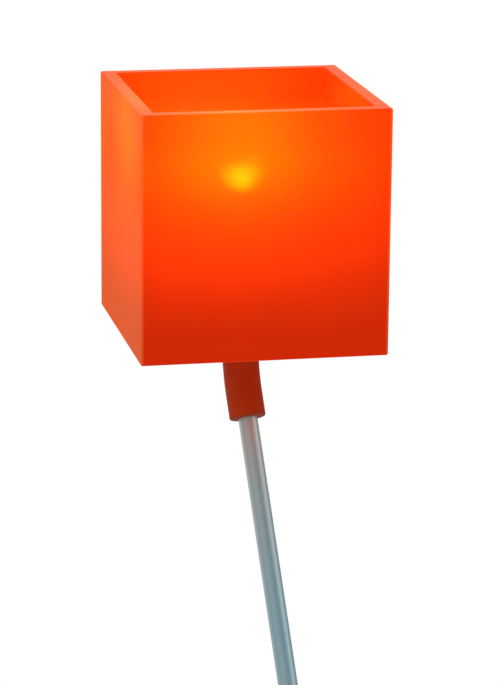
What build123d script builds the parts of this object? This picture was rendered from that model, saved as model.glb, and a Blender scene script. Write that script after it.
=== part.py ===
from build123d import *
from math import asin, cos, degrees, radians, sin, sqrt, tan
import os

# Leaning floor lamp: an open translucent cube on a slanted pole that rises from a weighted round base.
# Sizes are millimetres and degrees. The origin is the centre of the base's underside and +Z is up. The
# cube's front faces -Y. Heights in the head count up from the cube's underside.

# Stance
overall_height = 1100.0  # floor to the rim of the cube
lean = 27.5  # pole off plumb
lean_heading = 8.0  # from the head to the foot, turned from -Y towards +X
foot_inset = 50.0  # rim of the base to the pole's axis on top of the base

# Clearances
seat_gap = 0.05  # radial, between fixed pieces that fit together
running_gap = 0.05  # radial, of the spigot in its bush
slip_gap = 0.1  # between flat faces that turn on each other
free_gap = 0.3  # between moving pieces that never touch
hole_gap = 0.5  # radial, of a screw, stud or lead in its hole

# Shade
shade_size = 200.0
shade_wall = 12.0
shade_floor = 12.0
shade_edge_radius = 1.5
shade_corner_radius = 3.0

# Clamp of the shade: washers, nipple and nut
washer_od = 28.0
washer_thickness = 1.5
nipple_od = 10.0
nipple_bore = 7.0
nipple_grip = 9.0
nut_across = 15.0
nut_height = 4.0

# Swivel between the shade and the elbow
spigot_od = 16.0
spigot_length = 20.0
spigot_flange_od = 28.0
spigot_flange = 3.0
bush_od = 21.0
bush_length = 18.0
bush_flange_od = 26.0
bush_flange = 1.5
swivel_stop = 140.0
stop_drop = 11.0  # stop screw below the top of the elbow
stop_screw_od = 4.0
groove_depth = 2.0
stop_slack = 1.0  # degrees left at each end of the groove

# Elbow
elbow_od = 30.0
elbow_upper_leg = 6.0
elbow_bend_radius = 85.0
elbow_lower_leg = 21.5
elbow_lip_radius = 1.5
elbow_grip = 24.0
elbow_screw_od = 4.0

# Pole and the lead inside it
pole_od = 16.0
pole_wall = 1.5
lead_od = 5.2
lead_way = 8.0
lead_bend_radius = 45.0
lead_foot_radius = 12.0

# Screw recess depth and the depth that a grub screw lies under the surface
hex_depth = 2.0
screw_sink = 1.0

# Lampholder
holder_od = 40.0
holder_wall = 2.0
holder_neck_od = 18.0
holder_neck = 9.0
holder_flare = 10.0
holder_cap_height = 26.0
holder_shell_height = 32.0
insert_flange_od = 38.0
insert_flange = 3.0
insert_depth = 5.0
sleeve_wall = 0.8
sleeve_height = 24.0
contact_width = 8.0
contact_depth = 4.0
contact_corner = 1.0
contact_height = 1.5

# Bulb
bulb_cap_od = 26.4
bulb_cap_wall = 0.6
bulb_cap_height = 20.0
bulb_tip_od = 9.0
bulb_tip = 2.0
bulb_insulator = 3.0
bulb_ball_od = 60.0
bulb_glass = 0.8
bulb_neck_grip = 10.0
bulb_neck_rise = 6.0
bulb_light_centre = 80.0  # contact tip to the middle of the ball
bulb_shoulder_angle = 40.0
stem_od = 5.0
stem_height = 34.0
stem_flare = 8.0
wire_od = 0.8
wire_rise = 5.0
wire_bend_radius = 3.0
filament_od = 1.4
filament_span = 30.0
filament_sag = 9.5
filament_rise = 4.0  # bulb's light centre to the ends of the filament
filament_bend_radius = 4.0
filament_turn = 40.0  # about the bulb's axis, with the bulb screwed home

# Base
base_od = 340.0
pad_thickness = 3.0
pad_inset = 10.0
weight_thickness = 20.0
cover_thickness = 1.5
cover_edge_radius = 8.0
cover_lift = 2.0  # cover's lower edge above the floor
weight_gap = 0.5

# Studs of the cover and their nuts
stud_od = 4.0
stud_inset = 70.0  # rim of the base to a stud
stud_bearing = 25.0
stud_count = 3
stud_nut_across = 7.0
stud_nut_height = 3.2
stud_recess = 6.0
stud_recess_od = 14.0

# Pole socket and its screws
socket_od = 28.0
socket_height = 46.0
socket_rest = 2.0  # end of the pole above the cover, along the pole
socket_lip_radius = 1.5
socket_flange_od = 72.0
socket_flange = 6.0
socket_screw_od = 6.0
socket_screw_head = 12.0
socket_screw_inset = 9.0  # rim of the flange to a screw
socket_screw_bite = 5.0
socket_screw_count = 3
socket_lock_od = 6.0
socket_lock_drop = 15.0

# Wiring under the weight
slot_width = 24.0
slot_height = 12.0
slot_start = 12.0  # behind the axis of the pole socket
block_length = 16.0
block_width = 18.0
block_height = 9.0
block_bore = 4.0
block_pitch = 7.0
block_rim_gap = 12.0  # block to the weight's rim
channel_width = 8.0
channel_bend_radius = 30.0
channel_run = 32.0

# Cable inlet
grommet_bore = 6.6
grommet_neck_od = 9.2
grommet_flange_od = 11.0
grommet_flange = 2.0

# Foot switch
switch_inset = 52.0  # rim of the base to the switch's axis
switch_bearing = 55.0
switch_body_od = 34.0
switch_body_height = 18.0
switch_neck_od = 27.0
switch_neck_rise = 4.0
switch_nut_od = 36.0
switch_nut_height = 3.5
switch_edge_radius = 1.0
button_od = 21.0
button_rise = 7.0
button_travel = 4.0
button_depth = 6.0

# Directions of the lean
tilt = radians(lean)
heading = radians(lean_heading)
up = Vector(0, 0, 1)
foot_dir = Vector(sin(heading), -cos(heading), 0)
side_dir = Vector(cos(heading), sin(heading), 0)
pole_dir = up * cos(tilt) - foot_dir * sin(tilt)

# Levels of the base
weight_bottom = pad_thickness
weight_top = weight_bottom + weight_thickness
cover_top = weight_top + cover_thickness
cover_radius = base_od / 2
weight_radius = cover_radius - cover_thickness - weight_gap
foot_offset = cover_radius - foot_inset
stud_radius = cover_radius - stud_inset
switch_offset = cover_radius - switch_inset

# Levels of the head, from the cube's underside
elbow_top_drop = washer_thickness + spigot_flange + slip_gap + bush_flange
bend_tangent = elbow_bend_radius * tan(tilt / 2)
kink_drop = elbow_top_drop + elbow_upper_leg + bend_tangent
elbow_reach = bend_tangent + elbow_lower_leg
holder_bottom = shade_floor + washer_thickness + nut_height
insert_top = holder_bottom + holder_cap_height + insert_flange
bulb_bottom = insert_top + contact_height + slip_gap

# The pole's axis and the head's axis cross at the kink, inside the elbow
shade_bottom = overall_height - shade_size
kink_height = shade_bottom - kink_drop
pole_run = (kink_height - cover_top) * tan(tilt)
head_foot = foot_dir * (foot_offset - pole_run)
kink = head_foot + up * kink_height
head_origin = head_foot + up * shade_bottom
head_axis = Axis(head_origin, up)
head_plane = Plane(head_origin)
head_section = Plane(head_origin, x_dir=(1, 0, 0), z_dir=(0, -1, 0))
pole_plane = Plane(kink, x_dir=side_dir, z_dir=pole_dir)
foot_plane = Plane((0, 0, 0), x_dir=foot_dir, z_dir=up)

# Distances down the pole from the kink
pole_top = elbow_reach - elbow_grip
foot_distance = (kink_height - cover_top) / cos(tilt)
socket_top = foot_distance - socket_height
pole_bottom = foot_distance - socket_rest


def axis_reach(height):
    """Distance from the base's centre to the pole's axis at a height near the floor."""
    return foot_offset + (cover_top - height) * tan(tilt)


def on_foot(x, y, z):
    """Point of the base in the frame, from its place along and across the lean."""
    return foot_plane.from_local_coords(Vector(x, y, z))


def grub_screw(seat, diameter, length):
    """Headless screw with its tip on the seat plane and a hexagon recess at its far end."""
    with BuildPart() as screw:
        with BuildSketch(seat):
            Circle(diameter / 2)
        extrude(amount=length)
        with BuildSketch(seat.offset(length)):
            RegularPolygon(diameter / 4, 6)
        extrude(amount=-hex_depth, mode=Mode.SUBTRACT)
    return screw


# Shade: moulded cube, open at the top, with a hole in its floor for the nipple
with BuildPart() as shade:
    with BuildSketch(head_plane):
        RectangleRounded(shade_size, shade_size, shade_edge_radius)
    extrude(amount=shade_size)
    with BuildSketch(head_plane.offset(shade_floor)):
        RectangleRounded(shade_size - 2 * shade_wall, shade_size - 2 * shade_wall, shade_corner_radius)
    extrude(amount=shade_size - shade_floor, mode=Mode.SUBTRACT)
    fillet(shade.faces().sort_by(Axis.Z)[-1].edges(), shade_edge_radius)
    fillet(shade.faces().sort_by(Axis.Z)[0].edges(), shade_edge_radius)
    with BuildSketch(head_plane):
        Circle(nipple_od / 2 + hole_gap)
    extrude(amount=shade_floor, mode=Mode.SUBTRACT)

# Washers: soft rings under and on the cube's floor
with BuildPart() as lower_washer:
    with BuildSketch(head_plane.offset(-washer_thickness)):
        Circle(washer_od / 2)
        Circle(nipple_od / 2 + hole_gap, mode=Mode.SUBTRACT)
    extrude(amount=washer_thickness)

with BuildPart() as upper_washer:
    with BuildSketch(head_plane.offset(shade_floor)):
        Circle(washer_od / 2)
        Circle(nipple_od / 2 + hole_gap, mode=Mode.SUBTRACT)
    extrude(amount=washer_thickness)

# Nipple: hollow threaded rod from the spigot through the floor into the lampholder
nipple_bottom = -washer_thickness - nipple_grip
nipple_top = holder_bottom + nipple_grip
with BuildPart() as threaded_nipple:
    with BuildSketch(head_plane.offset(nipple_bottom)):
        Circle(nipple_od / 2)
        Circle(nipple_bore / 2, mode=Mode.SUBTRACT)
    extrude(amount=nipple_top - nipple_bottom)

# Clamp nut: draws the cube down on the spigot's flange
with BuildPart() as clamp_nut:
    with BuildSketch(head_plane.offset(shade_floor + washer_thickness)):
        RegularPolygon(nut_across / 2, 6, major_radius=False)
        Circle(nipple_od / 2 + seat_gap, mode=Mode.SUBTRACT)
    extrude(amount=nut_height)

# Spigot: turned piece that carries the head and turns in the bush. Its groove ends at a land, which
# meets the stop screw at both ends of the swivel
spigot_top = -washer_thickness
spigot_shoulder = spigot_top - spigot_flange
groove_floor = spigot_od / 2 - groove_depth
stop_tip = groove_floor + free_gap
stop_half_angle = degrees(asin(stop_screw_od / 2 / stop_tip))
groove_angle = 2 * (swivel_stop + stop_half_angle + stop_slack)
groove_height = stop_screw_od + 2 * free_gap
stop_level = -elbow_top_drop - stop_drop
groove_start = foot_dir.rotate(Axis.Z, 180 - groove_angle / 2)
groove_plane = Plane(head_origin + up * stop_level, x_dir=groove_start, z_dir=groove_start.cross(up))
with BuildPart() as swivel_spigot:
    with BuildSketch(head_plane.offset(spigot_shoulder)):
        Circle(spigot_flange_od / 2)
    extrude(amount=spigot_flange)
    with BuildSketch(head_plane.offset(spigot_shoulder)):
        Circle(spigot_od / 2)
    extrude(amount=-spigot_length)
    with BuildSketch(groove_plane):
        with Locations((groove_floor + groove_depth, 0)):
            Rectangle(2 * groove_depth, groove_height)
    revolve(axis=head_axis, revolution_arc=groove_angle, mode=Mode.SUBTRACT)
    with BuildSketch(head_plane.offset(spigot_shoulder - spigot_length)):
        Circle(lead_way / 2)
    extrude(amount=spigot_length + spigot_flange, mode=Mode.SUBTRACT)
    with BuildSketch(head_plane.offset(spigot_top)):
        Circle(nipple_od / 2 + seat_gap)
    extrude(amount=-nipple_grip, mode=Mode.SUBTRACT)

# Bush: flanged sleeve in the top of the elbow, with a hole for the stop screw
stop_plane = Plane(head_origin + up * stop_level, x_dir=side_dir, z_dir=-foot_dir)
with BuildPart() as swivel_bush:
    with BuildSketch(head_plane.offset(-elbow_top_drop)):
        Circle(bush_flange_od / 2)
    extrude(amount=bush_flange)
    with BuildSketch(head_plane.offset(-elbow_top_drop)):
        Circle(bush_od / 2)
    extrude(amount=-bush_length)
    with BuildSketch(head_plane.offset(bush_flange - elbow_top_drop)):
        Circle(spigot_od / 2 + running_gap)
    extrude(amount=-bush_length - bush_flange, mode=Mode.SUBTRACT)
    with BuildSketch(stop_plane):
        Circle(stop_screw_od / 2 + seat_gap)
    extrude(amount=bush_od, mode=Mode.SUBTRACT)

# Elbow: moulded sleeve along a straight leg, a bend and a straight leg. Its bores take the bush from
# above and the pole from below, with a bent way for the lead between them
elbow_top = head_origin - up * elbow_top_drop
elbow_end = kink - pole_dir * elbow_reach
elbow_screw_level = elbow_reach - elbow_lower_leg / 2
elbow_screw_plane = Plane(kink - pole_dir * elbow_screw_level, x_dir=side_dir, z_dir=pole_plane.y_dir)
with BuildPart() as elbow:
    with BuildLine():
        FilletPolyline(elbow_top, kink, elbow_end, radius=elbow_bend_radius)
    with BuildSketch(head_plane.offset(-elbow_top_drop)):
        Circle(elbow_od / 2)
    sweep()
    fillet(elbow.edges().filter_by(GeomType.CIRCLE), elbow_lip_radius)
    with BuildLine():
        FilletPolyline(elbow_top, kink, elbow_end, radius=lead_bend_radius)
    with BuildSketch(head_plane.offset(-elbow_top_drop)):
        Circle(lead_way / 2)
    sweep(mode=Mode.SUBTRACT)
    with BuildSketch(head_plane.offset(-elbow_top_drop)):
        Circle(bush_od / 2 + seat_gap)
    extrude(amount=-max(bush_length, spigot_length) - free_gap, mode=Mode.SUBTRACT)
    with BuildSketch(pole_plane.offset(-elbow_reach)):
        Circle(pole_od / 2 + seat_gap)
    extrude(amount=elbow_grip, mode=Mode.SUBTRACT)
    with BuildSketch(stop_plane):
        Circle(stop_screw_od / 2 + seat_gap)
    extrude(amount=elbow_od, mode=Mode.SUBTRACT)
    with BuildSketch(elbow_screw_plane):
        Circle(elbow_screw_od / 2 + seat_gap)
    extrude(amount=elbow_od, mode=Mode.SUBTRACT)

# Screws of the elbow: one runs in the spigot's groove, one grips the pole
stop_screw = grub_screw(stop_plane.offset(stop_tip), stop_screw_od, elbow_od / 2 - screw_sink - stop_tip)
elbow_screw_tip = pole_od / 2 + seat_gap
elbow_screw = grub_screw(
    elbow_screw_plane.offset(elbow_screw_tip), elbow_screw_od, elbow_od / 2 - screw_sink - elbow_screw_tip
)

# Pole: plain tube from the elbow to the socket
with BuildPart() as pole:
    with BuildSketch(pole_plane.offset(-pole_bottom)):
        Circle(pole_od / 2)
        Circle(pole_od / 2 - pole_wall, mode=Mode.SUBTRACT)
    extrude(amount=pole_bottom - pole_top)

# Pole lead: from the terminal block up the pole, round the elbow and up the nipple to the lampholder
lead_level = weight_bottom + slot_height / 2
block_end = weight_radius - block_rim_gap
block_start = block_end - block_length
insert_bottom = holder_bottom + holder_cap_height - insert_depth
lead_start = on_foot(block_start - seat_gap, 0, lead_level)
lead_corner = on_foot(axis_reach(lead_level), 0, lead_level)
lead_end = head_origin + up * (insert_bottom - free_gap)
with BuildPart() as pole_lead:
    with BuildLine():
        FilletPolyline(lead_start, lead_corner, kink, lead_end, radius=[lead_foot_radius, lead_bend_radius])
    with BuildSketch(Plane(lead_start, x_dir=side_dir, z_dir=-foot_dir)):
        Circle(lead_od / 2)
    sweep()

# Lampholder cap: flared cup that screws on the nipple
holder_radius = holder_od / 2
holder_inner = holder_radius - holder_wall
neck_bore = nipple_od / 2 + seat_gap
with BuildPart() as holder_cap:
    with BuildSketch(head_section):
        with BuildLine():
            Polyline(
                (neck_bore, holder_bottom),
                (holder_neck_od / 2, holder_bottom),
                (holder_neck_od / 2, holder_bottom + holder_neck),
                (holder_radius, holder_bottom + holder_neck + holder_flare),
                (holder_radius, holder_bottom + holder_cap_height),
                (holder_inner, holder_bottom + holder_cap_height),
                (holder_inner, holder_bottom + holder_neck + holder_flare + holder_wall),
                (neck_bore, holder_bottom + holder_neck + holder_wall),
                close=True,
            )
        make_face()
    revolve(axis=head_axis)

# Ceramic insert: sits in the cap, with a flange that the shell clamps
insert_radius = holder_inner - seat_gap
with BuildPart() as holder_insert:
    with BuildSketch(head_plane.offset(insert_bottom)):
        Circle(insert_radius)
    extrude(amount=insert_depth)
    with BuildSketch(head_plane.offset(insert_top - insert_flange)):
        Circle(insert_flange_od / 2)
    extrude(amount=insert_flange)

# Threaded sleeve: brass ring on the insert that takes the bulb's cap
sleeve_radius = bulb_cap_od / 2 + free_gap
with BuildPart() as holder_sleeve:
    with BuildSketch(head_plane.offset(insert_top)):
        Circle(sleeve_radius + sleeve_wall)
        Circle(sleeve_radius, mode=Mode.SUBTRACT)
    extrude(amount=sleeve_height)

# Centre contact: small plate in the middle of the insert
with BuildPart() as holder_contact:
    with BuildSketch(head_plane.offset(insert_top)):
        RectangleRounded(contact_width, contact_depth, contact_corner)
    extrude(amount=contact_height)

# Lampholder shell: thick sleeve on the cap, round the insert's flange and the threaded sleeve
shell_bottom = holder_bottom + holder_cap_height
with BuildPart() as holder_shell:
    with BuildSketch(head_plane.offset(shell_bottom)):
        Circle(holder_radius)
    extrude(amount=holder_shell_height)
    fillet(holder_shell.edges().sort_by(Axis.Z)[-1], holder_wall)
    with BuildSketch(head_plane.offset(shell_bottom)):
        Circle(sleeve_radius + sleeve_wall + seat_gap)
    extrude(amount=holder_shell_height, mode=Mode.SUBTRACT)
    with BuildSketch(head_plane.offset(shell_bottom)):
        Circle(insert_flange_od / 2 + seat_gap)
    extrude(amount=insert_flange, mode=Mode.SUBTRACT)

# Bulb levels, from the cube's underside
bulb_cap_bottom = bulb_bottom + bulb_tip + bulb_insulator
bulb_cap_top = bulb_cap_bottom + bulb_cap_height
bulb_centre = bulb_bottom + bulb_light_centre
bulb_plane = head_plane.offset(bulb_bottom)

# Bulb tip, insulator and screw cap
with BuildPart() as bulb_tip_piece:
    with BuildSketch(bulb_plane):
        Circle(bulb_tip_od / 2)
    extrude(amount=bulb_tip)
    fillet(bulb_tip_piece.edges().sort_by(Axis.Z)[0], bulb_tip / 2)

with BuildPart() as bulb_insulator_piece:
    with BuildSketch(bulb_plane.offset(bulb_tip)):
        Circle(bulb_tip_od / 2)
    with BuildSketch(bulb_plane.offset(bulb_tip + bulb_insulator)):
        Circle(bulb_cap_od / 2 - bulb_cap_wall)
    loft()

with BuildPart() as bulb_cap:
    with BuildSketch(bulb_plane.offset(bulb_tip + bulb_insulator)):
        Circle(bulb_cap_od / 2)
    extrude(amount=bulb_cap_height)
    with BuildSketch(bulb_plane.offset(bulb_tip + bulb_insulator + bulb_cap_wall)):
        Circle(bulb_cap_od / 2 - bulb_cap_wall)
    extrude(amount=bulb_cap_height, mode=Mode.SUBTRACT)

# Bulb envelope: blown glass with a straight neck, a flowing shoulder and a ball
neck_radius = bulb_cap_od / 2 - bulb_cap_wall - seat_gap
neck_bottom = bulb_cap_top - bulb_neck_grip
neck_top = bulb_cap_top + bulb_neck_rise
shoulder = radians(bulb_shoulder_angle)


def envelope_outline(inset):
    """Half outline of the envelope, drawn in by an inset from its outer surface."""
    ball = bulb_ball_od / 2 - inset
    neck = neck_radius - inset
    tangent_point = (ball * cos(shoulder), bulb_centre - ball * sin(shoulder))
    pole_point = (0, bulb_centre + ball)
    side_point = (ball * cos(shoulder / 2), bulb_centre + ball * sin(shoulder / 2))
    Line((0, neck_bottom), (neck, neck_bottom))
    Line((neck, neck_bottom), (neck, neck_top))
    Spline((neck, neck_top), tangent_point, tangents=[(0, 1), (sin(shoulder), cos(shoulder))])
    ThreePointArc(tangent_point, side_point, pole_point)
    Line(pole_point, (0, neck_bottom))


with BuildPart() as bulb_envelope:
    with BuildSketch(head_section):
        with BuildLine():
            envelope_outline(0)
        make_face()
        with BuildLine():
            envelope_outline(bulb_glass)
        make_face(mode=Mode.SUBTRACT)
    revolve(axis=head_axis)

# Glass stem: flare in the neck and a rod that carries the wires
stem_bottom = neck_bottom
stem_top = stem_bottom + stem_height
with BuildPart() as bulb_stem:
    with BuildSketch(head_section):
        with BuildLine():
            Polyline(
                (0, stem_bottom),
                (neck_radius - bulb_glass - seat_gap, stem_bottom),
                (stem_od / 2, stem_bottom + stem_flare),
                (stem_od / 2, stem_top),
                (0, stem_top),
                close=True,
            )
        make_face()
    revolve(axis=head_axis)

# Lead-in wires: up from the stem, out and up again past the ends of the filament
filament_plane = head_section.rotated((0, 0, filament_turn))
filament_level = bulb_centre + filament_rise
wire_foot = stem_od / 2 - wire_od
with BuildPart() as bulb_wires:
    for side in (-1, 1):
        wire_points = (
            (side * wire_foot, stem_top),
            (side * wire_foot, stem_top + wire_rise),
            (side * filament_span / 2, filament_level - wire_rise),
            (side * filament_span / 2, filament_level + wire_od),
        )
        with BuildLine(filament_plane):
            wire = FilletPolyline(*wire_points, radius=wire_bend_radius)
        with BuildSketch(Plane(wire @ 0, z_dir=wire % 0)):
            Circle(wire_od / 2)
        sweep()

# Filament: coil that sags between the wires
filament_end = (filament_span - wire_od - filament_od) / 2
with BuildPart() as bulb_filament:
    with BuildLine(filament_plane):
        coil = FilletPolyline(
            (-filament_end, filament_level),
            (0, filament_level - filament_sag),
            (filament_end, filament_level),
            radius=filament_bend_radius,
        )
    with BuildSketch(Plane(coil @ 0, z_dir=coil % 0)):
        Circle(filament_od / 2)
    sweep()

# Floor pad: foam disc under the weight
with BuildPart() as base_pad:
    with BuildSketch(Plane.XY):
        Circle(base_od / 2 - pad_inset)
    extrude(amount=pad_thickness)

# Places on the base, along and across the lean
socket_centre = axis_reach(weight_top)
socket_seat = weight_top - socket_flange
socket_bottom = (cover_top - socket_seat) / cos(tilt) + socket_od / 2 * tan(tilt)
socket_screw_radius = socket_flange_od / 2 - socket_screw_inset
screw_angle = 180 / socket_screw_count
block_centre = (block_start + block_end) / 2
switch_place = (
    switch_offset * cos(radians(switch_bearing)),
    switch_offset * sin(radians(switch_bearing)),
)
channel_points = (
    (block_centre, block_width / 2),
    (block_centre, block_width / 2 + channel_run),
    switch_place,
)

# Weight: cast disc with a seat for the socket, a wiring slot to the rim, a hole for the foot switch
# and holes for studs and screws
with BuildPart() as base_weight:
    with BuildSketch(Plane.XY.offset(weight_bottom)):
        Circle(weight_radius)
    extrude(amount=weight_thickness)
    fillet(base_weight.edges().sort_by(Axis.Z)[-1], cover_edge_radius - cover_thickness)
    with BuildSketch(foot_plane.offset(socket_seat)):
        with Locations((socket_centre, 0)):
            Circle(socket_flange_od / 2 + hole_gap)
    extrude(amount=socket_flange, mode=Mode.SUBTRACT)
    with BuildSketch(foot_plane.offset(weight_bottom)):
        with Locations((socket_centre - slot_start, 0)):
            Rectangle(base_od, slot_width, align=(Align.MIN, Align.CENTER))
    extrude(amount=slot_height, mode=Mode.SUBTRACT)
    with BuildSketch(foot_plane.offset(weight_bottom)):
        with BuildLine():
            FilletPolyline(*channel_points, radius=channel_bend_radius)
        trace(line_width=channel_width)
    extrude(amount=slot_height, mode=Mode.SUBTRACT)
    with BuildSketch(pole_plane.offset(-foot_distance)):
        Circle(lead_way / 2)
    extrude(amount=-(cover_top - weight_bottom) / cos(tilt), mode=Mode.SUBTRACT)
    with BuildSketch(foot_plane.offset(weight_bottom)):
        with Locations(switch_place):
            Circle(switch_body_od / 2 + hole_gap)
        with PolarLocations(stud_radius, stud_count, start_angle=stud_bearing):
            Circle(stud_od / 2 + hole_gap)
    extrude(amount=weight_thickness, mode=Mode.SUBTRACT)
    with BuildSketch(foot_plane.offset(weight_bottom)):
        with PolarLocations(stud_radius, stud_count, start_angle=stud_bearing):
            Circle(stud_recess_od / 2)
    extrude(amount=stud_recess, mode=Mode.SUBTRACT)
    with Locations(Plane(on_foot(socket_centre, 0, weight_bottom), x_dir=foot_dir, z_dir=-up)):
        with PolarLocations(socket_screw_radius, socket_screw_count, start_angle=screw_angle):
            CounterSinkHole(
                socket_screw_od / 2 + hole_gap, socket_screw_head / 2 + hole_gap, weight_thickness
            )

# Pole socket: slanted boss on a round flange, bored for the pole and the lead
socket_lock_plane = Plane(
    kink - pole_dir * (socket_top + socket_lock_drop), x_dir=side_dir, z_dir=pole_plane.y_dir
)
with BuildPart() as pole_socket:
    with BuildSketch(pole_plane.offset(-foot_distance - socket_bottom)):
        Circle(socket_od / 2)
    extrude(amount=socket_bottom + socket_height)
    fillet(pole_socket.edges().sort_by(Axis.Z)[-1], socket_lip_radius)
    split(bisect_by=Plane.XY.offset(socket_seat), keep=Keep.TOP)
    with BuildSketch(foot_plane.offset(socket_seat)):
        with Locations((socket_centre, 0)):
            Circle(socket_flange_od / 2)
    extrude(amount=socket_flange)
    with BuildSketch(pole_plane.offset(-pole_bottom)):
        Circle(pole_od / 2 + seat_gap)
    extrude(amount=socket_height, mode=Mode.SUBTRACT)
    with BuildSketch(pole_plane.offset(-pole_bottom)):
        Circle(lead_way / 2)
    extrude(amount=pole_bottom - foot_distance - socket_bottom, mode=Mode.SUBTRACT)
    with BuildSketch(foot_plane.offset(socket_seat)):
        with Locations((socket_centre, 0)):
            with PolarLocations(socket_screw_radius, socket_screw_count, start_angle=screw_angle):
                Circle(socket_screw_od / 2 + seat_gap)
    extrude(amount=socket_flange, mode=Mode.SUBTRACT)
    with BuildSketch(socket_lock_plane):
        Circle(socket_lock_od / 2 + seat_gap)
    extrude(amount=socket_od, mode=Mode.SUBTRACT)

# Screws of the socket: three from below, and one that grips the pole
screw_length = weight_thickness - socket_flange + socket_screw_bite
with BuildPart() as socket_screws:
    with BuildSketch(foot_plane.offset(weight_bottom)):
        with Locations((socket_centre, 0)):
            with PolarLocations(socket_screw_radius, socket_screw_count, start_angle=screw_angle):
                Circle(socket_screw_od / 2)
    extrude(amount=screw_length)
    with BuildSketch(foot_plane.offset(weight_bottom)):
        with Locations((socket_centre, 0)):
            with PolarLocations(socket_screw_radius, socket_screw_count, start_angle=screw_angle):
                Circle(socket_screw_head / 2)
    extrude(amount=(socket_screw_head - socket_screw_od) / 2, taper=45)
socket_lock_tip = pole_od / 2 + seat_gap
socket_lock = grub_screw(
    socket_lock_plane.offset(socket_lock_tip), socket_lock_od, socket_od / 2 - screw_sink - socket_lock_tip
)

# Grommet: rubber bush in the cover's wall, the inlet for a mains lead
wall_inside = cover_radius - cover_thickness
grommet_inside = sqrt(wall_inside**2 - (grommet_flange_od / 2) ** 2)
grommet_plane = Plane((0, 0, 0), x_dir=side_dir, z_dir=foot_dir).offset(grommet_inside)
grommet_spot = (0, lead_level)
grommet_neck = cover_radius - grommet_inside
with BuildPart() as cable_grommet:
    with BuildSketch(grommet_plane):
        with Locations(grommet_spot):
            Circle(grommet_neck_od / 2)
    extrude(amount=grommet_neck)
    with BuildSketch(grommet_plane, grommet_plane.offset(grommet_neck + grommet_flange)):
        with Locations(grommet_spot):
            Circle(grommet_flange_od / 2)
    extrude(amount=-grommet_flange)
    with BuildSketch(grommet_plane.offset(-grommet_flange)):
        with Locations(grommet_spot):
            Circle(grommet_bore / 2)
    extrude(amount=grommet_neck + 2 * grommet_flange, mode=Mode.SUBTRACT)

# Cover: spun dish over the weight, with weld studs and holes for the socket, the switch and the inlet
stud_length = weight_thickness - stud_recess + stud_nut_height
with BuildPart() as base_cover:
    with BuildSketch(Plane.XZ):
        with BuildLine():
            outside = FilletPolyline(
                (0, cover_top),
                (cover_radius, cover_top),
                (cover_radius, cover_lift),
                radius=cover_edge_radius,
            )
            inside = FilletPolyline(
                (0, weight_top),
                (wall_inside, weight_top),
                (wall_inside, cover_lift),
                radius=cover_edge_radius - cover_thickness,
            )
            Line(outside @ 0, inside @ 0)
            Line(outside @ 1, inside @ 1)
        make_face()
    revolve(axis=Axis.Z)
    with BuildSketch(foot_plane.offset(weight_top)):
        with PolarLocations(stud_radius, stud_count, start_angle=stud_bearing):
            Circle(stud_od / 2)
    extrude(amount=-stud_length)
    with BuildSketch(pole_plane.offset(-foot_distance - socket_bottom)):
        Circle(socket_od / 2 + hole_gap)
    extrude(amount=2 * socket_bottom, mode=Mode.SUBTRACT)
    with BuildSketch(foot_plane.offset(weight_top)):
        with Locations(switch_place):
            Circle(switch_neck_od / 2 + hole_gap)
    extrude(amount=cover_thickness, mode=Mode.SUBTRACT)
    with BuildSketch(grommet_plane):
        with Locations(grommet_spot):
            Circle(grommet_neck_od / 2 + seat_gap)
    extrude(amount=grommet_neck, mode=Mode.SUBTRACT)

# Nuts on the studs, in recesses under the weight
with BuildPart() as cover_nuts:
    with BuildSketch(foot_plane.offset(weight_bottom + stud_recess - stud_nut_height)):
        with PolarLocations(stud_radius, stud_count, start_angle=stud_bearing):
            RegularPolygon(stud_nut_across / 2, 6, major_radius=False)
            Circle(stud_od / 2 + seat_gap, mode=Mode.SUBTRACT)
    extrude(amount=stud_nut_height)

# Terminal block: in the wiring slot, with two ways through it
slot_top = weight_bottom + slot_height
with BuildPart() as terminal_block:
    with BuildSketch(foot_plane.offset(slot_top - block_height)):
        with Locations((block_centre, 0)):
            Rectangle(block_length, block_width)
    extrude(amount=block_height)
    with BuildSketch(Plane((0, 0, 0), x_dir=side_dir, z_dir=foot_dir).offset(block_start)):
        with Locations((-block_pitch / 2, lead_level), (block_pitch / 2, lead_level)):
            Circle(block_bore / 2)
    extrude(amount=block_length, mode=Mode.SUBTRACT)

# Switch lead: from the side of the block along its channel to the foot switch
channel_corner = Vector(*channel_points[1])
channel_target = Vector(*switch_place)
channel_back = (channel_corner - channel_target).normalized()
switch_side = channel_target + channel_back * (switch_body_od / 2 + free_gap)
with BuildPart() as switch_lead:
    with BuildLine():
        run = FilletPolyline(
            on_foot(block_centre, block_width / 2 + seat_gap, lead_level),
            on_foot(channel_corner.X, channel_corner.Y, lead_level),
            on_foot(switch_side.X, switch_side.Y, lead_level),
            radius=channel_bend_radius,
        )
    with BuildSketch(Plane(run @ 0, z_dir=run % 0)):
        Circle(lead_od / 2)
    sweep()

# Foot switch: body under the cover, threaded neck through it, ring nut on it and a push button
neck_end = cover_top + switch_neck_rise
button_bottom = neck_end - button_depth
with BuildPart() as switch_body:
    with BuildSketch(foot_plane.offset(weight_top)):
        with Locations(switch_place):
            Circle(switch_body_od / 2)
    extrude(amount=-switch_body_height)
    with BuildSketch(foot_plane.offset(weight_top)):
        with Locations(switch_place):
            Circle(switch_neck_od / 2)
    extrude(amount=neck_end - weight_top)
    with BuildSketch(foot_plane.offset(neck_end)):
        with Locations(switch_place):
            Circle(button_od / 2 + free_gap)
    extrude(amount=-button_depth - button_travel - free_gap, mode=Mode.SUBTRACT)

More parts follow.
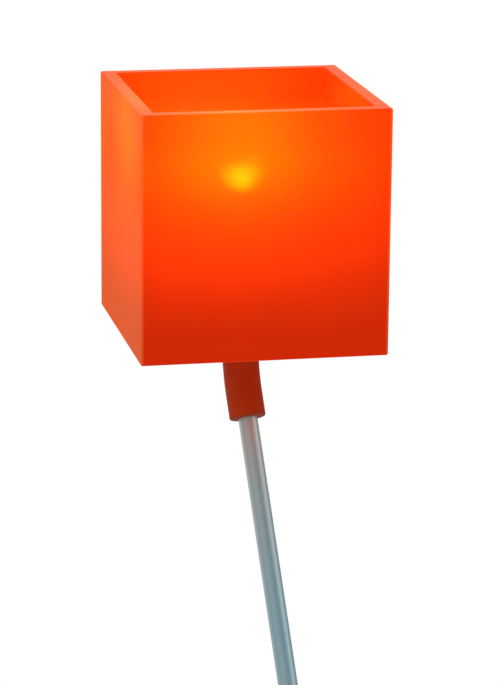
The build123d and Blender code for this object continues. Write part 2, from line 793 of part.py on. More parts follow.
with BuildPart() as switch_nut:
    with BuildSketch(foot_plane.offset(cover_top)):
        with Locations(switch_place):
            Circle(switch_nut_od / 2)
    extrude(amount=switch_nut_height)
    fillet(switch_nut.edges().sort_by(Axis.Z)[-1], switch_edge_radius)
    with BuildSketch(foot_plane.offset(cover_top)):
        with Locations(switch_place):
            Circle(switch_neck_od / 2 + seat_gap)
    extrude(amount=switch_nut_height, mode=Mode.SUBTRACT)

with BuildPart() as switch_button:
    with BuildSketch(foot_plane.offset(button_bottom)):
        with Locations(switch_place):
            Circle(button_od / 2)
    extrude(amount=button_depth + button_rise)
    fillet(switch_button.edges().sort_by(Axis.Z)[-1], switch_edge_radius)

pieces = {
    "shade": shade,
    "lower_washer": lower_washer,
    "upper_washer": upper_washer,
    "threaded_nipple": threaded_nipple,
    "clamp_nut": clamp_nut,
    "swivel_spigot": swivel_spigot,
    "swivel_bush": swivel_bush,
    "stop_screw": stop_screw,
    "elbow": elbow,
    "elbow_screw": elbow_screw,
    "pole": pole,
    "pole_lead": pole_lead,
    "holder_cap": holder_cap,
    "holder_insert": holder_insert,
    "holder_sleeve": holder_sleeve,
    "holder_contact": holder_contact,
    "holder_shell": holder_shell,
    "bulb_tip": bulb_tip_piece,
    "bulb_insulator": bulb_insulator_piece,
    "bulb_cap": bulb_cap,
    "bulb_envelope": bulb_envelope,
    "bulb_stem": bulb_stem,
    "bulb_wires": bulb_wires,
    "bulb_filament": bulb_filament,
    "base_pad": base_pad,
    "base_weight": base_weight,
    "pole_socket": pole_socket,
    "socket_screws": socket_screws,
    "socket_lock": socket_lock,
    "cable_grommet": cable_grommet,
    "base_cover": base_cover,
    "cover_nuts": cover_nuts,
    "terminal_block": terminal_block,
    "switch_lead": switch_lead,
    "switch_body": switch_body,
    "switch_nut": switch_nut,
    "switch_button": switch_button,
}
os.makedirs("parts", exist_ok=True)
for name, piece in pieces.items():
    piece.part.label = name
    export_step(piece.part, f"parts/{name}.step")
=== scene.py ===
from math import atan2, cos, pi, radians, sin, tau

import bmesh
import bpy
from mathutils import Matrix, Vector


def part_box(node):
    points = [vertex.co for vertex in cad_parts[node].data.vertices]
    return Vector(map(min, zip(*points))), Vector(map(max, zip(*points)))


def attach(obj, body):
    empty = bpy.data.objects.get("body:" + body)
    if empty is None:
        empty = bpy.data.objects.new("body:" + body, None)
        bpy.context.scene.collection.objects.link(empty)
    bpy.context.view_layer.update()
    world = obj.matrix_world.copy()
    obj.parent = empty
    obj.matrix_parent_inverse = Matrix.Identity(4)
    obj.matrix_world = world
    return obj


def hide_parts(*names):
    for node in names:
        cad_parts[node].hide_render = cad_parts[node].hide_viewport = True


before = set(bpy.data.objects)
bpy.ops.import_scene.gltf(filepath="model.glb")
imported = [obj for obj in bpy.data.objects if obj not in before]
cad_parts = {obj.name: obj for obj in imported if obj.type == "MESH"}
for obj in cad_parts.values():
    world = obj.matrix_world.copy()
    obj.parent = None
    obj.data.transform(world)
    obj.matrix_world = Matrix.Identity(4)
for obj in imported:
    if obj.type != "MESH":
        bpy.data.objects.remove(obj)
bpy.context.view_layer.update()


# Floor pad: a disc of closed-cell foam, die-cut and stuck under the weight so that the iron neither
# slips nor marks the floor. Its skin is dull charcoal, with the small cells just showing.
class Tone:
    """A value in the shader of one finish: arithmetic on it adds Math nodes, node() adds any other."""

    def __init__(self, finish, socket=None):
        self.finish = finish
        self.socket = socket

    def node(self, kind, settings=None, sockets=None, out=0):
        """Adds a node: its settings are set first, then its sockets take their values or links."""
        made = self.finish.node_tree.nodes.new("ShaderNode" + kind)
        for name, value in (settings or {}).items():
            if name == "stops":
                stops = made.color_ramp.elements
                stops.remove(stops[1])
                stops[0].position = value[0][0]
                stops[0].color = (*value[0][1], 1)
                for place, colour in value[1:]:
                    stops.new(place).color = (*colour, 1)
            else:
                setattr(made, name, value)
        for name, value in (sockets or {}).items():
            socket = made.inputs[name]
            if isinstance(value, Tone):
                self.finish.node_tree.links.new(value.socket, socket)
            elif socket.type == "RGBA":
                socket.default_value = (*value, 1)
            else:
                socket.default_value = value
        return Tone(self.finish, made.outputs[out] if made.outputs else None)

    def also(self, name):
        """Another output of the same node."""
        return Tone(self.finish, self.socket.node.outputs[name])

    def math(self, operation, first, second):
        return self.node("Math", {"operation": operation}, {0: first, 1: second})

    def between(self, first, second):
        """A colour that goes from the first to the second as this value goes from 0 to 1."""
        return self.node("Mix", {"data_type": "RGBA"}, {0: self, 6: first, 7: second}, out=2)

    def fade(self, start, end, form="SMOOTHSTEP"):
        """Goes from 0 to 1 as this value goes from start to end."""
        limits = {"Value": self, "From Min": start, "From Max": end}
        return self.node("MapRange", {"interpolation_type": form}, limits)

    def __add__(self, other):
        return self.math("ADD", self, other)

    def __radd__(self, other):
        return self.math("ADD", other, self)

    def __sub__(self, other):
        return self.math("SUBTRACT", self, other)

    def __rsub__(self, other):
        return self.math("SUBTRACT", other, self)

    def __mul__(self, other):
        return self.math("MULTIPLY", self, other)

    def __rmul__(self, other):
        return self.math("MULTIPLY", other, self)

    def __truediv__(self, other):
        return self.math("DIVIDE", self, other)

    def __rtruediv__(self, other):
        return self.math("DIVIDE", other, self)

    def __pow__(self, other):
        return self.math("POWER", self, other)


def start_finish(name):
    """An empty procedural finish."""
    material = bpy.data.materials.new(name)
    material.use_nodes = True
    material.node_tree.nodes.clear()
    return Tone(material)


def grain(tone, scale, detail=3.0, place=None):
    """Cloudy noise over a piece, with so many clouds to the metre."""
    place = place or tone.node("TexCoord", out="Object")
    return tone.node("TexNoise", {}, {"Vector": place, "Scale": scale, "Detail": detail})


def relief(tone, height, depth):
    """Surface normal over a height field that is so many metres deep."""
    return tone.node("Bump", {}, {"Height": height, "Distance": depth, "Strength": 1.0})


def close_on(tone, surface, *nodes):
    """Closes a finish with its surface and puts it on CAD nodes."""
    tone.node("OutputMaterial", {}, {"Surface": surface})
    for name in nodes:
        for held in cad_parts[name].material_slots:
            held.material = tone.finish


def lay_on(tone, sockets, *nodes):
    """Closes a finish with one surface shader and puts it on CAD nodes."""
    close_on(tone, tone.node("BsdfPrincipled", {}, sockets), *nodes)


foam = start_finish("foam_skin")
cells = foam.node("TexVoronoi", {}, {"Vector": foam.node("TexCoord", out="Object"), "Scale": 900.0})
lay_on(
    foam,
    {
        "Base Color": grain(foam, 40.0).between((0.030, 0.030, 0.032), (0.055, 0.054, 0.054)),
        "Roughness": 0.85 + 0.1 * cells,
        "Normal": relief(foam, cells, 0.0003),
    },
    "base_pad",
)

# Weight: a flat disc of grey iron, sand cast and painted black, that keeps the leaning pole upright.
# It lies hidden between the pad and the cover.
iron = start_finish("cast_iron_skin")
sand = grain(iron, 700.0)
lay_on(
    iron,
    {
        "Base Color": grain(iron, 25.0).between((0.040, 0.040, 0.042), (0.085, 0.083, 0.080)),
        "Roughness": 0.55 + 0.3 * sand,
        "Metallic": 0.35,
        "Normal": relief(iron, sand, 0.0004),
    },
    "base_weight",
)

# Pole socket: a slanted boss turned and milled from aluminium and satin anodised, held to the weight by
# three screws from below. A grub screw at its back grips the pole.
pole_lean = radians(27.5)
pole_heading = radians(8.0)
foot_way = Vector((sin(pole_heading), -cos(pole_heading), 0))
pole_way = Vector((0, 0, 1)) * cos(pole_lean) - foot_way * sin(pole_lean)
pole_side = Vector((cos(pole_heading), sin(pole_heading), 0))
pole_turn = Matrix((pole_side, pole_way.cross(pole_side), pole_way)).transposed().to_euler()


def along_pole(tone, stretch):
    """Place on the pole, with its length along Z drawn out so many times."""
    place = tone.node("TexCoord", out="Object")
    return tone.node(
        "Mapping", {"vector_type": "TEXTURE"}, {"Vector": place, "Rotation": pole_turn, "Scale": stretch}
    )


turned = start_finish("satin_turned_aluminium")
lathe_lines = grain(turned, 2500.0, 2.0, along_pole(turned, (30, 30, 1)))
lay_on(
    turned,
    {
        "Base Color": grain(turned, 60.0).between((0.56, 0.57, 0.58), (0.64, 0.65, 0.66)),
        "Metallic": 1.0,
        "Roughness": 0.26 + 0.12 * lathe_lines,
        "Normal": relief(turned, lathe_lines, 0.00002),
    },
    "pole_socket",
)

# Screws and nuts: bought zinc-plated steel, turned and rolled, with a bright bluish skin that is a
# little dull in places.
zinc = start_finish("zinc_plate")
crystals = grain(zinc, 1200.0, 4.0)
lay_on(
    zinc,
    {
        "Base Color": grain(zinc, 150.0).between((0.52, 0.55, 0.58), (0.68, 0.69, 0.69)),
        "Metallic": 1.0,
        "Roughness": 0.24 + 0.2 * crystals,
        "Normal": relief(zinc, crystals, 0.00002),
    },
    "socket_screws",
    "socket_lock",
    "cover_nuts",
    "elbow_screw",
    "stop_screw",
    "threaded_nipple",
    "clamp_nut",
)

# Foot switch: a black moulded push button and body, spark-eroded to a fine matt grain.
switch_black = start_finish("matt_black_moulding")
spark_grain = grain(switch_black, 2600.0, 2.0)
lay_on(
    switch_black,
    {
        "Base Color": grain(switch_black, 90.0).between((0.016, 0.016, 0.017), (0.026, 0.026, 0.027)),
        "Roughness": 0.42 + 0.2 * spark_grain,
        "Normal": relief(switch_black, spark_grain, 0.00005),
    },
    "switch_body",
    "switch_button",
)


# Ring nut of the foot switch: turned brass with a straight knurl round its rim, chrome plated. It
# screws on the switch's neck and holds the switch under the cover.
def add_piece(name, shape, body, tone, crease=radians(35)):
    """Makes an object of a finished bmesh and puts it on its body, with its finish."""
    mesh = bpy.data.meshes.new(name)
    shape.to_mesh(mesh)
    shape.free()
    for face in mesh.polygons:
        face.use_smooth = True
    mesh.set_sharp_from_angle(angle=crease)
    mesh.materials.append(tone.finish)
    piece = bpy.data.objects.new(name, mesh)
    bpy.context.scene.collection.objects.link(piece)
    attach(piece, body)
    return piece


tolerance = 1e-5


def turn_profile(points, steps, closed):
    """Turns a profile of (radius, height) points about the Z axis into a shell."""
    shape = bmesh.new()
    corners = [shape.verts.new((radius, 0, height)) for radius, height in points]
    for first, second in zip(corners, corners[1:]):
        shape.edges.new((first, second))
    if closed:
        shape.edges.new((corners[-1], corners[0]))
    bmesh.ops.spin(
        shape,
        geom=shape.verts[:] + shape.edges[:],
        cent=(0, 0, 0),
        axis=(0, 0, 1),
        angle=tau,
        steps=steps,
        use_merge=True,
    )
    bmesh.ops.remove_doubles(shape, verts=shape.verts[:], dist=tolerance)
    bmesh.ops.recalc_face_normals(shape, faces=shape.faces[:])
    return shape


chrome = start_finish("chrome_plate")
wiping_marks = grain(chrome, 400.0, 5.0)
lay_on(
    chrome,
    {
        "Base Color": grain(chrome, 120.0).between((0.66, 0.67, 0.68), (0.74, 0.75, 0.76)),
        "Metallic": 1.0,
        "Roughness": 0.06 + 0.1 * wiping_marks,
    },
)
nut_low, nut_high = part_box("switch_nut")
nut_rim = (nut_high.x - nut_low.x) / 2
nut_bore = 0.01355
nut_rise = nut_high.z - nut_low.z
knurl_ridges = 72
knurl_depth = 0.0004
nut_edge = 0.0006
nut_middle = (nut_low + nut_high) / 2
ring_nut = turn_profile(
    [(nut_bore, 0), (nut_rim, 0), (nut_rim, nut_rise), (nut_bore, nut_rise)], 2 * knurl_ridges, closed=True
)
top_rims = [edge for edge in ring_nut.edges if all(v.co.z > nut_rise - tolerance for v in edge.verts)]
bmesh.ops.bevel(
    ring_nut,
    geom=[edge for edge in top_rims if edge.calc_length() < 2 * (nut_rim - nut_bore) / 3],
    offset=nut_edge,
    affect="EDGES",
    segments=2,
    profile=0.5,
    material=-1,
)
for corner in ring_nut.verts:
    reach = corner.co.xy.length
    column = round(atan2(corner.co.y, corner.co.x) / tau * 2 * knurl_ridges)
    if reach > nut_rim - tolerance and column % 2:
        corner.co.xy *= (reach - knurl_depth) / reach
bmesh.ops.translate(ring_nut, verts=ring_nut.verts[:], vec=(nut_middle.x, nut_middle.y, nut_low.z))
knurled_nut = add_piece("knurled_ring_nut", ring_nut, "stand", chrome, crease=radians(20))
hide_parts("switch_nut")

# Wiring in the base and the pole: leads in a pale grey sheath, and a nylon terminal block that joins
# them in the slot under the weight.
sheath = start_finish("grey_lead_sheath")
drawn_marks = grain(sheath, 300.0)
lay_on(
    sheath,
    {
        "Base Color": drawn_marks.between((0.42, 0.42, 0.41), (0.50, 0.50, 0.49)),
        "Roughness": 0.45 + 0.15 * drawn_marks,
    },
    "pole_lead",
    "switch_lead",
)
nylon = start_finish("white_nylon")
flow_marks = grain(nylon, 250.0)
lay_on(
    nylon,
    {
        "Base Color": flow_marks.between((0.68, 0.67, 0.63), (0.76, 0.75, 0.71)),
        "Roughness": 0.4 + 0.15 * flow_marks,
    },
    "terminal_block",
)

# Grommet: a soft black rubber bush in the cover's wall, where a mains lead comes in.
rubber = start_finish("black_rubber")
bloom = grain(rubber, 350.0, 4.0)
lay_on(
    rubber,
    {
        "Base Color": bloom.between((0.014, 0.014, 0.014), (0.034, 0.033, 0.032)),
        "Roughness": 0.65 + 0.2 * bloom,
    },
    "cable_grommet",
)

# Cover: a steel dish spun over the weight and sprayed silver, with fine flakes in the lacquer and the
# faint orange peel of a sprayed coat.
silver = start_finish("silver_lacquer")
flakes = silver.node("TexVoronoi", {}, {"Vector": silver.node("TexCoord", out="Object"), "Scale": 2200.0})
orange_peel = grain(silver, 420.0, 2.0)
lay_on(
    silver,
    {
        "Base Color": flakes.between((0.58, 0.59, 0.60), (0.48, 0.49, 0.50)),
        "Metallic": 0.75,
        "Roughness": 0.34 + 0.12 * flakes,
        "Coat Weight": 0.25,
        "Coat Roughness": 0.12,
        "Normal": relief(silver, orange_peel, 0.00006),
    },
    "base_cover",
)

# Pole: a drawn aluminium tube, brushed along its length and clear anodised, with a painted reflection of
# the shade's orange light on its top. The lead runs up inside it.
brushed = start_finish("brushed_aluminium_tube")
brush_lines = grain(brushed, 1800.0, 3.0, along_pole(brushed, (1, 1, 90)))
slow_streaks = grain(brushed, 260.0, 2.0, along_pole(brushed, (1, 1, 200)))
elbow_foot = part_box("elbow")[0].z
painted_reflection_reach = 0.13
up_the_pole = brushed.node("SeparateXYZ", {}, {"Vector": brushed.node("TexCoord", out="Object")}, out="Z")
# Painted reflection: the tube's colour turns warm over its top 130 mm, below the elbow.
painted_reflection_fade = up_the_pole.fade(elbow_foot - painted_reflection_reach, elbow_foot, "LINEAR")
cool = slow_streaks.between((0.42, 0.52, 0.54), (0.50, 0.59, 0.61))
painted_shade_reflection = slow_streaks.between((0.55, 0.49, 0.44), (0.63, 0.56, 0.50))
lay_on(
    brushed,
    {
        "Base Color": painted_reflection_fade.between(cool, painted_shade_reflection),
        "Metallic": 1.0,
        "Roughness": 0.36 + 0.12 * brush_lines,
        "Normal": relief(brushed, brush_lines, 0.00002),
    },
    "pole",
)

# Elbow: a sleeve moulded of the same orange plastic as the shade, dark red where no light passes
# through it. It is bored for the pole below and for the bush of the swivel above.
elbow_red = start_finish("deep_red_moulding")
clouding = grain(elbow_red, 70.0)
satin = grain(elbow_red, 1500.0, 2.0)
lay_on(
    elbow_red,
    {
        "Base Color": clouding.between((0.29, 0.026, 0.002), (0.34, 0.032, 0.003)),
        "Roughness": 0.42 + 0.12 * satin,
        "Specular IOR Level": 0.04,
        "Normal": relief(elbow_red, satin, 0.00002),
    },
    "elbow",
)

# Swivel: a flanged bush of white acetal pressed into the elbow, and a brass spigot turned to run in it.
acetal = start_finish("white_acetal")
tool_marks = grain(acetal, 500.0)
lay_on(
    acetal,
    {
        "Base Color": tool_marks.between((0.72, 0.71, 0.68), (0.78, 0.77, 0.75)),
        "Roughness": 0.3 + 0.1 * tool_marks,
    },
    "swivel_bush",
)
brass = start_finish("turned_brass")
tarnish = grain(brass, 140.0, 4.0)
turning = grain(
    brass,
    1500.0,
    2.0,
    brass.node(
        "Mapping",
        {"vector_type": "TEXTURE"},
        {"Vector": brass.node("TexCoord", out="Object"), "Scale": (30, 30, 1)},
    ),
)
lay_on(
    brass,
    {
        "Base Color": tarnish.between((0.66, 0.47, 0.20), (0.78, 0.60, 0.30)),
        "Metallic": 1.0,
        "Roughness": 0.2 + 0.16 * turning,
        "Normal": relief(brass, turning, 0.00002),
    },
    "swivel_spigot",
    "holder_contact",
)

# Washers: rings punched from clear silicone sheet, under and on the floor of the shade, so that the nut
# draws the plastic down softly.
silicone = start_finish("clear_silicone")
punch_marks = grain(silicone, 600.0)
lay_on(
    silicone,
    {
        "Base Color": punch_marks.between((0.60, 0.52, 0.48), (0.68, 0.61, 0.57)),
        "Roughness": 0.5 + 0.15 * punch_marks,
        "Transmission Weight": 0.3,
        "IOR": 1.41,
    },
    "lower_washer",
    "upper_washer",
)

# Shade: a thick open cube cast of orange translucent plastic with a satin skin. The light in its walls is a
# painted glow from a fixed point beside the bulb, yellow-orange near it and deep red low down, with painted
# shade in the inner corners and a painted highlight on the rounded edges. A small share comes straight
# through and shows the filament.
shade_low, shade_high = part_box("shade")
bulb_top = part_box("bulb_envelope")[1].z
shade_axis = (shade_low + shade_high) / 2
shade_wall = 0.012
corner_round = 0.003
wall_distance = (shade_high.x - shade_low.x) / 2
inner_face = wall_distance - shade_wall
painted_glow_centre = Vector((shade_axis.x - 0.022, shade_axis.y - 0.032, bulb_top + 0.019))
glow_falloff = 2.1
glow_reach = 0.435
wall_brightness = 0.7
dark_level = shade_low.z - 0.012
full_level = shade_high.z - 0.039
skin_start, skin_end = 0.0008, 0.0002
orange = start_finish("glowing_orange_plastic")
orange.finish.cycles.emission_sampling = "NONE"
in_shade = orange.node("TexCoord", out="Object")
across = orange.node("VectorMath", {"operation": "SUBTRACT"}, {0: in_shade, 1: shade_axis}, out="Vector")
sideways = orange.node("SeparateXYZ", {}, {"Vector": across}, out="X")
off_axis = [orange.math("ABSOLUTE", part, 0) for part in (sideways, sideways.also("Y"))]
off_middle = (sideways * sideways + sideways.also("Y") * sideways.also("Y")) / wall_distance**2
from_bulb = orange.node("VectorMath", {"operation": "DISTANCE"}, {0: in_shade, 1: painted_glow_centre}, out="Value")
height = orange.node("SeparateXYZ", {}, {"Vector": in_shade}, out="Z")
on_rim = height.fade(shade_high.z - skin_start, shade_high.z - skin_end, "LINEAR")
underneath = height.fade(shade_low.z + skin_start, shade_low.z + skin_end, "LINEAR")
above_holder = height.fade(dark_level, full_level)
toward_back = height.also("Y").fade(shade_low.y, shade_high.y, "LINEAR")
toward_corner = orange.math("MINIMUM", *off_axis)
# Painted shade: the glow is a tenth darker along the corners of the walls.
painted_corner_shade = toward_corner.fade(inner_face - 0.4 * shade_wall, inner_face + 0.4 * shade_wall)
# Painted highlight: a pale glow on the rounded upright edges.
painted_edge_highlight = toward_corner.fade(
    wall_distance - 0.87 * corner_round, wall_distance - 0.29 * corner_round, "LINEAR"
)
past_inner_face = orange.math("MAXIMUM", *off_axis).fade(
    inner_face + 0.03 * shade_wall, inner_face + 0.1 * shade_wall, "LINEAR"
)
outside = orange.math("MAXIMUM", past_inner_face, underneath)
casting_clouds = grain(orange, 22.0, 2.0)
# Painted glow: brighter near a fixed point beside the bulb, with painted shade below the lampholder, a little
# cloudy.
painted_spread = (wall_distance / from_bulb) ** glow_falloff * above_holder * (0.95 + 0.1 * casting_clouds)
# Painted glow on the shade's floor, darker towards its middle, and a little more towards the back of the
# outer faces.
painted_floor_glow = (0.6 - 0.27 * off_middle) * underneath
painted_back_glow = (0.07 * toward_back - 0.012) * outside
painted_glow_level = painted_spread * (1 - 0.1 * painted_corner_shade) + painted_floor_glow + painted_back_glow
painted_glow = orange.node(
    "ValToRGB",
    {
        "stops": [
            (0.00, (0.22, 0.0105, 0.0)),
            (0.05, (0.48, 0.022, 0.0)),
            (0.10, (0.72, 0.034, 0.0)),
            (0.18, (0.99, 0.049, 0.001)),
            (0.50, (1.30, 0.110, 0.001)),
            (1.00, (1.50, 0.260, 0.001)),
        ]
    },
    {"Fac": glow_reach * painted_glow_level},
)
spot_low, spot_full = bulb_top - 0.060, bulb_top - 0.010
spot_fading, spot_high = bulb_top - 0.002, bulb_top + 0.024
at_bulb = height.fade(spot_low, spot_full)
over_bulb = height.fade(spot_fading, spot_high)
least_share, bulb_share = 0.08, 0.25
straight_share = least_share + bulb_share * at_bulb * (1 - over_bulb)
painted_spread_glow = orange.node(
    "VectorMath", {"operation": "SCALE"}, {0: painted_glow, "Scale": wall_brightness / (1 - straight_share)}
)
# The painted glow, with the painted edge highlight added on the rounded edges.
painted_skin_glow = orange.node(
    "VectorMath",
    {"operation": "MULTIPLY_ADD"},
    {0: painted_edge_highlight, 1: (0.070, 0.062, 0.015), 2: painted_spread_glow},
)
satin_skin = grain(orange, 1800.0, 2.0)
skin_normal = relief(orange, satin_skin, 0.00001)
plastic = {
    "Base Color": casting_clouds.between((0.48, 0.011, 0.001), (0.55, 0.014, 0.001)),
    "Roughness": 0.50 + 0.06 * satin_skin,
    "Specular IOR Level": 0.0,
    "Coat Weight": (0.11 - 0.06 * above_holder) * (1 - 0.7 * toward_back) + 0.30 * on_rim,
    "Coat Roughness": 0.28,
    "Coat IOR": 1.3,
    "Emission Color": painted_skin_glow,
    "Emission Strength": 1.0,
    "Normal": skin_normal,
}
satin_veil = {"Sheen Weight": 0.31, "Sheen Roughness": 0.4, "Sheen Tint": (1.0, 0.72, 0.2)}
inner_skin = orange.node("BsdfPrincipled", {}, plastic)
outer_skin = orange.node("BsdfPrincipled", {}, {**plastic, **satin_veil})
plastic_body = orange.node("MixShader", {}, {0: outside, 1: inner_skin, 2: outer_skin})
passed_light = orange.node(
    "BsdfRefraction", {}, {"Color": (0.50, 0.55, 0.03), "Roughness": 0.46, "IOR": 1.2, "Normal": skin_normal}
)
close_on(orange, orange.node("MixShader", {}, {0: straight_share, 1: plastic_body, 2: passed_light}), "shade")

# Lampholder: a white moulded cap and shell, with a glazed ceramic insert between them that carries the
# contact and the threaded sleeve.
moulded_white = start_finish("white_moulding")
mould_grain = grain(moulded_white, 900.0, 2.0)
lay_on(
    moulded_white,
    {
        "Base Color": grain(moulded_white, 45.0).between((0.70, 0.69, 0.66), (0.76, 0.75, 0.72)),
        "Roughness": 0.34 + 0.12 * mould_grain,
        "Normal": relief(moulded_white, mould_grain, 0.00002),
    },
    "holder_cap",
    "holder_shell",
)
ceramic = start_finish("glazed_ceramic")
pinholes = grain(ceramic, 800.0, 5.0)
lay_on(
    ceramic,
    {
        "Base Color": pinholes.between((0.66, 0.62, 0.54), (0.78, 0.75, 0.68)),
        "Roughness": 0.25 + 0.25 * pinholes,
        "Coat Weight": 0.4,
        "Coat Roughness": 0.08,
    },
    "holder_insert",
)


# Threads: the sleeve in the lampholder is pressed from brass strip and the bulb's cap from aluminium,
# each rolled to the same coarse round thread.
def rolled_thread(profile, thread_low, thread_high, depth, wall):
    """A pressed shell with a round thread rolled into it between two heights."""
    pitch = 0.00363
    run_out = 0.0012
    turn_steps = 72
    height_cuts = 56
    least_upright = 0.005
    shape = turn_profile(profile, turn_steps, closed=False)
    uprights = [e for e in shape.edges if abs(e.verts[0].co.z - e.verts[1].co.z) > least_upright]
    bmesh.ops.subdivide_edges(shape, edges=uprights, cuts=height_cuts, use_grid_fill=True)
    outer = max(corner.co.xy.length for corner in shape.verts)
    for corner in shape.verts:
        reach = corner.co.xy.length
        rise = min(corner.co.z - thread_low, thread_high - corner.co.z) / run_out
        if reach > outer - tolerance and rise > 0:
            wave = 0.5 - 0.5 * cos(tau * (corner.co.z - thread_low) / pitch - atan2(corner.co.y, corner.co.x))
            corner.co.xy *= (reach - min(rise, 1) * wave * depth) / reach
    bmesh.ops.solidify(shape, geom=shape.faces[:], thickness=wall)
    bmesh.ops.recalc_face_normals(shape, faces=shape.faces[:])
    bmesh.ops.translate(shape, verts=shape.verts[:], vec=(shade_axis.x, shade_axis.y, 0))
    return shape


sleeve_low, sleeve_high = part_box("holder_sleeve")
sleeve_outside = (sleeve_high.x - sleeve_low.x) / 2
sleeve_shape = rolled_thread(
    [(sleeve_outside, sleeve_low.z), (sleeve_outside, sleeve_high.z)],
    thread_low=sleeve_low.z + 0.002,
    thread_high=sleeve_high.z - 0.004,
    depth=0.0005,
    wall=0.00025,
)
threaded_sleeve = add_piece("threaded_sleeve", sleeve_shape, "head", brass)
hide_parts("holder_sleeve")

# Bulb: a clear round glass with a thin wall, sealed to a glass stem that carries the wires. The cap is
# cemented on, with a soldered tip in a black glass insulator.
cap_metal = start_finish("pressed_aluminium_cap")
pressing = grain(cap_metal, 500.0, 4.0)
lay_on(
    cap_metal,
    {
        "Base Color": pressing.between((0.66, 0.66, 0.65), (0.76, 0.76, 0.75)),
        "Metallic": 1.0,
        "Roughness": 0.22 + 0.15 * pressing,
    },
)
cap_low, cap_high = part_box("bulb_cap")
cap_outside = (cap_high.x - cap_low.x) / 2
cap_chamfer = 0.001
cap_profile = [
    (0.0, cap_low.z),
    (cap_outside - cap_chamfer, cap_low.z),
    (cap_outside, cap_low.z + cap_chamfer),
    (cap_outside, cap_high.z),
]
cap_shape = rolled_thread(
    cap_profile,
    thread_low=cap_low.z + cap_chamfer,
    thread_high=cap_high.z - 0.004,
    depth=0.0011,
    wall=0.0003,
)
threaded_cap = add_piece("threaded_cap", cap_shape, "bulb", cap_metal)
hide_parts("bulb_cap")

solder = start_finish("soldered_tip")
drops = grain(solder, 700.0)
lay_on(
    solder,
    {
        "Base Color": drops.between((0.50, 0.50, 0.49), (0.62, 0.61, 0.60)),
        "Metallic": 1.0,
        "Roughness": 0.3 + 0.2 * drops,
        "Normal": relief(solder, drops, 0.0001),
    },
    "bulb_tip",
    "bulb_wires",
)
black_glass = start_finish("black_glass")
seeds = grain(black_glass, 600.0)
lay_on(
    black_glass,
    {
        "Base Color": seeds.between((0.008, 0.008, 0.010), (0.020, 0.018, 0.020)),
        "Roughness": 0.08 + 0.1 * seeds,
    },
    "bulb_insulator",
)
clear_glass = start_finish("clear_bulb_glass")
blowing_lines = grain(clear_glass, 30.0, 2.0)
blown_wall = clear_glass.node(
    "BsdfPrincipled",
    {},
    {
        "Base Color": blowing_lines.between((0.96, 0.97, 0.97), (1.0, 1.0, 1.0)),
        "Roughness": 0.01 + 0.02 * blowing_lines,
        "Transmission Weight": 1.0,
        "IOR": 1.47,
    },
)
light_through = clear_glass.node("BsdfTransparent", {}, {"Color": (1.0, 1.0, 1.0)})
from_filament = clear_glass.node("LightPath", out="Is Shadow Ray")
close_on(
    clear_glass,
    clear_glass.node("MixShader", {}, {0: from_filament, 1: blown_wall, 2: light_through}),
    "bulb_envelope",
    "bulb_stem",
)

# Filament: tungsten wire wound in a fine coil, hung in a V between the two wires and white hot.
hot_wire = start_finish("hot_tungsten")
along_wire = grain(hot_wire, 900.0)
lay_on(
    hot_wire,
    {
        "Base Color": (0.20, 0.18, 0.16),
        "Roughness": 0.5 + 0.1 * along_wire,
        "Emission Color": along_wire.between((1.0, 0.70, 0.30), (1.0, 0.76, 0.36)),
        "Emission Strength": 4800.0,
    },
)
filament_low, filament_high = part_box("bulb_filament")
filament_middle = (filament_low + filament_high) / 2
coil_radius = 0.0006
wire_radius = 0.0001
wire_sides = 6
coil_pitch = 0.0005
coil_steps = 10
leg_reach = 0.0139
leg_rise = 0.0093
leg_length = (leg_reach**2 + leg_rise**2) ** 0.5
knee = 0.0012
filament_turn = radians(40)
bulb_turn = Matrix.Rotation(filament_turn, 3, "Z")
turns = round(2 * leg_length / coil_pitch)
coil_shape = bmesh.new()
bmesh.ops.create_circle(
    coil_shape,
    segments=wire_sides,
    radius=wire_radius,
    matrix=Matrix.Translation((coil_radius, 0, 0)) @ Matrix.Rotation(pi / 2, 4, "X"),
)
bmesh.ops.spin(
    coil_shape,
    geom=coil_shape.verts[:] + coil_shape.edges[:],
    cent=(0, 0, 0),
    axis=(0, 0, 1),
    dvec=(0, 0, 2 * leg_length / (turns * coil_steps)),
    angle=tau * turns,
    steps=turns * coil_steps,
)
lift = Vector((0, 0, filament_low.z - filament_middle.z + coil_radius + wire_radius))
for corner in coil_shape.verts:
    along = corner.co.z - leg_length
    bent = (along**2 + knee**2) ** 0.5
    way = Vector((leg_reach, 0, leg_rise * along / bent)).normalized()
    spot = Vector((along * leg_reach, 0, (bent - knee) * leg_rise)) / leg_length
    ring = Vector((-way.z, 0, way.x)) * corner.co.x + Vector((0, corner.co.y, 0))
    corner.co = filament_middle + lift + bulb_turn @ (spot + ring)
bmesh.ops.holes_fill(coil_shape, edges=coil_shape.edges[:], sides=wire_sides)
bmesh.ops.recalc_face_normals(coil_shape, faces=coil_shape.faces[:])
filament_coil = add_piece("filament_coil", coil_shape, "bulb", hot_wire, crease=radians(60))
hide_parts("bulb_filament")

# Studio: a white floor that fades to plain white away from the lamp, and soft light from the upper left.
# Metal and glass see the room white behind the lamp and dim on the camera's side.
dim_side = (0.29, 0.40, 0.44)
plain_white = (1.0, 1.0, 1.0)
floor_radius = 30.0
shadow_reach, shadow_end = 0.35, 1.4
floor_shape = bmesh.new()
bmesh.ops.create_circle(floor_shape, cap_ends=True, segments=96, radius=floor_radius)
floor_mesh = bpy.data.meshes.new("studio_floor")
floor_shape.to_mesh(floor_mesh)
floor_shape.free()
studio_floor = bpy.data.objects.new("studio_floor", floor_mesh)
bpy.context.scene.collection.objects.link(studio_floor)


def shown(tone):
    """1 for what the camera sees, straight or in metal and glass, and 0 for light on a surface."""
    direct = tone.node("LightPath", out="Is Camera Ray")
    either = tone.math("MAXIMUM", direct, direct.also("Is Glossy Ray"))
    return tone.math("MAXIMUM", either, direct.also("Is Transmission Ray"))


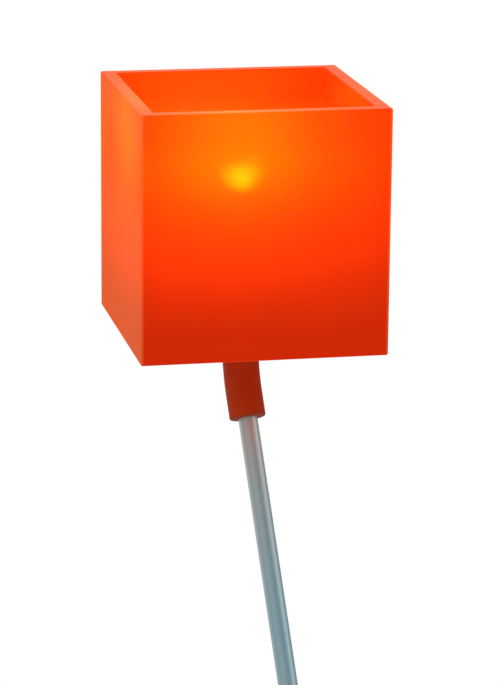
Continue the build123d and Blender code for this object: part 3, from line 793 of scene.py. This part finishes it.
floor_white = start_finish("white_floor")
on_floor = floor_white.node("TexCoord", out="Object")
from_lamp = floor_white.node("VectorMath", {"operation": "LENGTH"}, {0: on_floor}, out="Value")
far = from_lamp.fade(shadow_reach, shadow_end)
matt = floor_white.node("BsdfDiffuse", {}, {"Color": (0.86, 0.86, 0.86)})
backward = floor_white.node("SeparateXYZ", {}, {"Vector": on_floor}, out="Y")
rightward = floor_white.math("MAXIMUM", backward.also("X"), 0)
back_half = (backward - 0.9 * rightward).fade(0.5, 3.0)
in_view = floor_white.math("MAXIMUM", floor_white.node("LightPath", out="Is Camera Ray"), back_half)
plain = floor_white.node("Emission", {}, {"Color": in_view.between(dim_side, plain_white), "Strength": 1.0})
floor_white.node(
    "OutputMaterial",
    {},
    {"Surface": floor_white.node("MixShader", {}, {0: far * shown(floor_white), 1: matt, 2: plain})},
)
floor_mesh.materials.append(floor_white.finish)

room = bpy.data.worlds.new("studio_room")
room.use_nodes = True
room.node_tree.nodes.clear()
bpy.context.scene.world = room
room_white = Tone(room)
room_place = room_white.node("TexCoord", out="Generated")
room_way = room_white.node("SeparateXYZ", {}, {"Vector": room_place}, out="Y")
behind = room_way.fade(0.5, 0.95)
straight = room_white.node("LightPath", out="Is Camera Ray")
bright = room_white.math("MAXIMUM", straight, behind)
seen_white = room_white.node(
    "Background", {}, {"Color": bright.between(dim_side, plain_white), "Strength": 1.0}
)
leftward = room_way.also("X").fade(1.0, -1.0, "LINEAR")
soft_fill = room_white.node(
    "Background", {}, {"Color": leftward.between((0.46, 0.47, 0.48), (1.30, 1.32, 1.34)), "Strength": 1.0}
)
room_white.node(
    "OutputWorld",
    {},
    {"Surface": room_white.node("MixShader", {}, {0: shown(room_white), 1: soft_fill, 2: seen_white})},
)

lamp_aim = Vector((0, 0.2, 0.8))
for lamp_name, lamp_place, lamp_size, lamp_power in (
    ("key_softbox", (-3.2, -1.8, 3.0), 6.0, 22.0),
    ("fill_softbox", (3.4, -0.8, 2.2), 3.0, 18.0),
):
    softbox = bpy.data.lights.new(lamp_name, "AREA")
    softbox.size = lamp_size
    softbox.energy = lamp_power
    stand = bpy.data.objects.new(lamp_name, softbox)
    stand.location = lamp_place
    stand.rotation_euler = (lamp_aim - Vector(lamp_place)).to_track_quat("-Z", "Y").to_euler()
    bpy.context.scene.collection.objects.link(stand)

# Camera: a long lens a little above the shade, turned to its right and looking down.
camera_yaw = radians(11.78)
camera_pitch = radians(15.067)
camera_roll = radians(0.54)
camera_way = Vector((-0.492, -2.2998, 0.6482))
lens = bpy.data.cameras.new("camera")
lens.lens = 162.0
lens.clip_end = 200.0
camera = bpy.data.objects.new("camera", lens)
camera.matrix_world = (
    Matrix.Translation(Vector((shade_axis.x, shade_low.y, shade_low.z)) + camera_way)
    @ Matrix.Rotation(-camera_yaw, 4, "Z")
    @ Matrix.Rotation(pi / 2 - camera_pitch, 4, "X")
    @ Matrix.Rotation(camera_roll, 4, "Z")
)
bpy.context.scene.collection.objects.link(camera)
bpy.context.scene.camera = camera
bpy.context.scene.view_settings.view_transform = "Standard"
